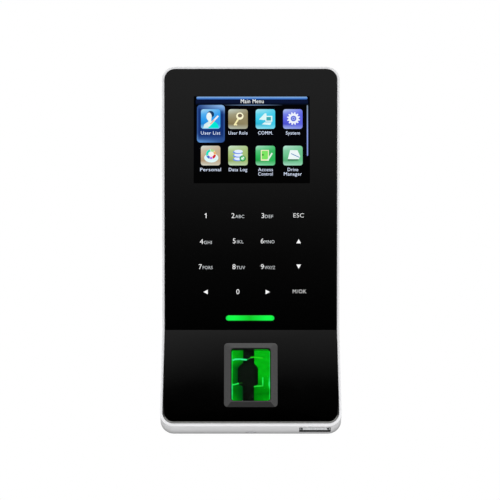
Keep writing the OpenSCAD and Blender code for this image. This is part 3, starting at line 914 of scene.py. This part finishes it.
def arrow(layer, x, z, turn):
    """A filled triangle that points up, turned anticlockwise."""
    spin = Matrix.Rotation(math.radians(turn), 2)
    corners = [spin @ Vector(p) for p in ((-1.0, -0.92), (1.0, -0.92), (0.0, 0.92))]
    layer.shape([(x + p.x, z + p.y) for p in corners], PRINT_WHITE)


def figure_one(layer, x, foot):
    """The digit 1, with its flag."""
    top = foot + DIGIT_H
    layer.shape([(x, foot), (x + 0.32, foot), (x + 0.32, top), (x + 0.05, top),
                 (x - 0.15, top - 0.28), (x - 0.5, top - 0.5), (x - 0.5, top - 0.8),
                 (x, top - 0.58)], PRINT_WHITE)


def digit_legend(layer, digit, small, width, x, z):
    """A digit, with any small letters after it on the same foot."""
    aside, up = NUDGE.get(digit, (0.0, 0.0))
    x += aside
    foot = z + up - DIGIT_H / 2 + 0.15
    if digit == "1":
        figure_one(layer, x, foot)
    elif not small:
        layer.text(digit, x, foot, DIGIT_H, DIGIT_WHITE)
    else:
        start = x - (DIGIT_W + LETTER_GAP + width) / 2
        end = layer.text(digit, start, foot, DIGIT_H, DIGIT_WHITE, side="left")
        layer.text(small, end + LETTER_GAP, foot, SMALL_H, SMALL_GREY, width=width, side="left")


def keypad_piece():
    """The signs of the sixteen touch keys."""
    layer = Print(face=PANEL_Y)
    for row, keys in enumerate(KEYS):
        for column, sign in enumerate(keys):
            x = KEY_AT.x + (column - 1.5) * KEY_DX + COLUMN_SHIFT[column]
            z = KEY_AT.z + (1.5 - row) * KEY_DZ
            if isinstance(sign, tuple):
                digit_legend(layer, *sign, x, z)
            elif isinstance(sign, str):
                height = WORD_H[sign]
                layer.text(sign, x + WORD_SHIFT[sign], z - height / 2 + 0.25, height,
                           WORD_TONE[sign], width=WORD_W[sign])
            else:
                arrow(layer, x, z, sign)
    layer.finish("key_legends", LEGEND)


# ---------- fingerprint sensor ----------

GUIDE_DEPTH = 2.0                # plane of the light guides below the panel's face
SHIFT = 0.75                     # how much higher the guides' marks sit than they look
EDGE_X = 8.3                     # outer sides, top and foot of the guides
EDGE_TOP = 11.8
EDGE_BOTTOM = -11.5
GUIDE_STEPS = 46


def outline_left(z):
    """Left side of the dark holder between the light guides."""
    if z > 5.5:
        return -3.3
    if z > 2.5:
        return -5.6 + 2.3 * ((z - 2.5) / 3.0) ** 1.6
    if z > -4.2:
        return -5.6
    if z > -5.2:
        return -3.6 - 2.0 * (z + 5.2)
    return -3.5


def outline_right(z):
    """Right side of the dark holder."""
    if z > 5.0:
        return 1.5
    if z > 2.5:
        return 3.1 - 1.6 * ((z - 2.5) / 2.5) ** 1.8
    if z > -4.4:
        return 3.1
    if z > -5.2:
        return 1.4 + 2.125 * (z + 5.2)
    return 1.4


def guide_rows(inner, outer, near, far):
    """Rows of a light guide from its outer edge to the holder's outline."""
    rows = []
    for i in range(GUIDE_STEPS + 1):
        share = i / GUIDE_STEPS
        z = EDGE_TOP + (EDGE_BOTTOM - EDGE_TOP) * share
        edge = inner(z - SHIFT)
        rows.append((z, outer, edge, between(far, share), between(near, share)))
    return rows


def light_guides():
    """Two green guides beside the holder, with the bright lines where their steps catch light."""
    layer = Print(ON_SLOPE, GUIDE_DEPTH)
    fresh = rgb(5, 190, 20)
    leaf = rgb(0, 130, 10)
    dark = rgb(0, 70, 20)
    left_far = [fresh, fresh, leaf, leaf, leaf, leaf, fresh]
    left_near = [leaf, leaf, dark, dark, dark, dark, dark]
    right_near = [fresh, fresh, fresh, fresh, leaf, leaf, leaf]
    right_far = [fresh, fresh, fresh, fresh, fresh, leaf, fresh]
    layer.strip(guide_rows(outline_left, -EDGE_X, left_near, left_far))
    layer.strip(guide_rows(outline_right, EDGE_X, right_near, right_far))
    bright = rgb(60, 255, 150)
    clear = rgb(40, 250, 90)
    dim = rgb(0, 190, 30)
    up = SHIFT
    layer.strip([(11.6, -EDGE_X, -7.9, clear, dim), (7.0 + up, -EDGE_X, -7.7, clear, dim),
                 (-3.0, -EDGE_X, -7.9, clear, dim), (-4.0, -EDGE_X, -7.6, bright, dim),
                 (EDGE_BOTTOM, -EDGE_X, -7.7, clear, dim)], 1)
    layer.strip([(11.2, 7.9, EDGE_X, dim, clear), (1.0, 7.9, EDGE_X, dim, clear),
                 (-3.6, 7.6, EDGE_X, clear, bright), (-6.0, 7.9, EDGE_X, dim, clear),
                 (EDGE_BOTTOM, 7.8, EDGE_X, dim, clear)], 1)
    for points, width, colour in (
            ([(-7.9, 6.5), (-6.8, 7.0), (-4.6, 7.05), (-1.7, 6.75)], 0.7, bright),
            ([(-1.9, 6.6), (-0.9, 7.2), (-0.1, 7.75)], 0.32, rgb(20, 150, 40)),
            ([(-0.2, 7.8), (1.2, 8.0), (5.2, 7.5)], 0.55, rgb(40, 225, 30)),
            ([(-7.9, -4.5), (-6.8, -4.4), (-5.2, -3.9)], 0.6, clear),
            ([(-5.0, -3.9), (-3.6, -3.7)], 0.4, rgb(15, 90, 20)),
            ([(1.3, -5.4), (2.6, -5.15), (5.4, -5.0)], 0.55, rgb(40, 225, 60)),
            ([(5.15, -5.1), (5.15, -3.0), (5.15, -1.2)], 0.5, clear)):
        for level, (one, two) in enumerate(zip(points, points[1:])):
            layer.shape(bar_points(one[0], one[1] + up, two[0], two[1] + up, width), colour,
                        2 + level)
    layer.finish("sensor_light_guides", GLOW)


def lens_holder():
    """The dark holder that stands between the guides."""
    bm = bmesh.new()
    loops = []
    for i in range(GUIDE_STEPS + 1):
        z = EDGE_TOP + (EDGE_BOTTOM - EDGE_TOP) * i / GUIDE_STEPS
        x0 = outline_left(z - SHIFT) - 0.15
        x1 = outline_right(z - SHIFT) + 0.15
        mid = (x0 + x1) / 2
        ring = []
        for x, depth in ((x0, GUIDE_DEPTH + 0.35), (mid - 1.2, GUIDE_DEPTH + 0.1),
                         (mid + 1.2, GUIDE_DEPTH + 0.1), (x1, GUIDE_DEPTH + 0.35),
                         (x1, GUIDE_DEPTH + 0.9), (x0, GUIDE_DEPTH + 0.9)):
            ring.append(bm.verts.new((ON_SLOPE @ Vector((x, depth, z))) * MM))
        loops.append(ring)
    for one, two in zip(loops, loops[1:]):
        for i in range(6):
            j = (i + 1) % 6
            bm.faces.new((one[i], one[j], two[j], two[i]))
    bm.faces.new(loops[0])
    bm.faces.new(reversed(loops[-1]))
    bmesh.ops.recalc_face_normals(bm, faces=bm.faces)
    set_shading(bm)
    add_piece("sensor_holder", bm, MATERIALS["chamber_plastic"])


# ---------- small parts seen from behind ----------

def socket_pins():
    """Gilt pins standing in the three cable sockets."""
    low, high = box_mm("cable_sockets")
    bm = bmesh.new()
    half = 4.8                   # half of one socket's width
    pin = 0.5
    length = 1.8
    pitch = 1.6
    count = 4
    for socket in range(3):
        middle = low.x + half + socket * (high.x - low.x - 2 * half) / 2
        for i in range(count):
            x = middle + (i - (count - 1) / 2) * pitch
            at = Vector((x, (low.y + high.y) / 2 + 0.2, (low.z + high.z) / 2)) * MM
            size = Matrix.Diagonal((pin * MM, length * MM, pin * MM, 1.0))
            bmesh.ops.create_cube(bm, size=1.0, matrix=Matrix.Translation(at) @ size)
    bmesh.ops.bevel(bm, geom=hard_edges(bm), offset=0.12 * MM, segments=2, profile=0.5,
                    affect="EDGES")
    set_shading(bm)
    add_piece("socket_pins", bm, MATERIALS["gilt_metal"])


# ---------- camera, light and floor ----------

VIEW_DISTANCE = 2.5              # metres
VIEW_RISE = 12                   # degrees that the camera looks up
LENS = 413.9
TARGET = (-0.35, 0.0, 1.2)       # the place that the camera looks at
ROOM_LIGHT = (0.25, 0.5, 0.8)    # brightness of the studio below, around and above
FLOOR_Z = -0.62                  # metres


def camera():
    """A long lens a little below the terminal, looking up at it."""
    data = bpy.data.cameras.new("camera")
    data.lens = LENS
    data.sensor_width = 36
    eye = bpy.data.objects.new("camera", data)
    bpy.context.scene.collection.objects.link(eye)
    rise = math.radians(VIEW_RISE)
    target = Vector(TARGET) * MM
    eye.location = target - VIEW_DISTANCE * Vector((0.0, math.cos(rise), math.sin(rise)))
    eye.rotation_euler = (math.radians(90) + rise, 0.0, 0.0)
    bpy.context.scene.camera = eye


# Brightness in front of the terminal by height in degrees: two soft cards over a dark gap
FRONT_CARDS = [(4, 0.5), (9, 0.0), (11.2, 0.01), (11.9, 0.05), (12.4, 0.12), (13.1, 0.29),
               (13.8, 0.41), (16, 0.2), (19, 0.0), (24.8, 0.0), (24.95, 0.03), (25.1, 0.09),
               (25.25, 0.16), (25.4, 0.31), (25.5, 0.42), (29, 0.6)]


def studio():
    """A pale room all round, with the two soft cards and the dark gap in front."""
    world = bpy.data.worlds.new("studio")
    bpy.context.scene.world = world
    world.use_nodes = True
    tree = world.node_tree
    tree.nodes.clear()
    way = add(tree, "SeparateXYZ", Vector=add(tree, "TexCoord").outputs["Generated"])
    height = math_node(tree, "ARCSINE", way.outputs["Z"])
    share = math_node(tree, "DIVIDE", height, math.pi / 2)
    cards = ramp(tree, share, [(angle / 90, (light,) * 3) for angle, light in FRONT_CARDS])
    room = ramp(tree, span(tree, way.outputs["Z"], -1, 1),
                [(i / 2, (light,) * 3) for i, light in enumerate(ROOM_LIGHT)])
    aside = math_node(tree, "ABSOLUTE", way.outputs["X"])
    narrow = span(tree, aside, 0.12, 0.3, 1.0, 0.0)
    front = math_node(tree, "LESS_THAN", way.outputs["Y"], 0.0)
    pick = tree.nodes.new("ShaderNodeMix")
    pick.data_type = "RGBA"
    tree.links.new(math_node(tree, "MULTIPLY", narrow, front), pick.inputs[0])
    tree.links.new(room, pick.inputs[6])
    tree.links.new(cards, pick.inputs[7])
    lit = add(tree, "Background", Color=pick.outputs[2])
    seen = add(tree, "Background", Color=(1.0, 1.0, 1.0, 1.0))
    path = add(tree, "LightPath")
    both = tree.nodes.new("ShaderNodeMixShader")
    tree.links.new(path.outputs["Is Camera Ray"], both.inputs[0])
    tree.links.new(lit.outputs[0], both.inputs[1])
    tree.links.new(seen.outputs[0], both.inputs[2])
    out = tree.nodes.new("ShaderNodeOutputWorld")
    tree.links.new(both.outputs[0], out.inputs["Surface"])


def softbox(name, place, size, watts):
    """A square soft light aimed at the terminal; place and size are in metres."""
    data = bpy.data.lights.new(name, "AREA")
    data.shape = "SQUARE"
    data.size = size
    data.energy = watts
    lamp = bpy.data.objects.new(name, data)
    lamp.location = place
    lamp.rotation_euler = (-Vector(place)).to_track_quat("-Z", "Y").to_euler()
    bpy.context.scene.collection.objects.link(lamp)


def floor():
    """A pale floor well below the terminal, clear when seen from underneath."""
    bm = bmesh.new()
    bmesh.ops.create_grid(bm, x_segments=8, y_segments=8, size=3.0)
    mesh = bpy.data.meshes.new("floor")
    bm.to_mesh(mesh)
    bm.free()
    plane = bpy.data.objects.new("floor", mesh)
    plane.location = (0.0, 0.0, FLOOR_Z)
    bpy.context.scene.collection.objects.link(plane)
    material, tree, shader = new_material("pale_floor")
    tones = [(0.3, (0.80, 0.80, 0.80)), (0.7, (0.83, 0.83, 0.83))]
    join(tree, ramp(tree, noise(tree, 40.0), tones), shader, "Base Color")
    shader.inputs["Roughness"].default_value = 0.8
    clear = add(tree, "BsdfTransparent")
    both = tree.nodes.new("ShaderNodeMixShader")
    tree.links.new(add(tree, "NewGeometry").outputs["Backfacing"], both.inputs[0])
    tree.links.new(shader.outputs[0], both.inputs[1])
    tree.links.new(clear.outputs[0], both.inputs[2])
    tree.links.new(both.outputs[0], tree.nodes["Material Output"].inputs["Surface"])
    mesh.materials.append(material)


dress_cad_nodes()
refine_shells()
display_pieces()
keypad_piece()
light_guides()
lens_holder()
socket_pins()
camera()
studio()
softbox("left_box", (-0.85, -1.6, 0.1), 0.6, 4.0)
softbox("right_box", (0.85, -1.6, 0.1), 0.6, 7.0)
softbox("high_box", (0.0, -1.3, 1.55), 1.0, 12.0)
softbox("top_box", (0.0, -0.2, 1.6), 1.2, 8.0)
floor()
bpy.context.scene.view_settings.view_transform = "Standard"
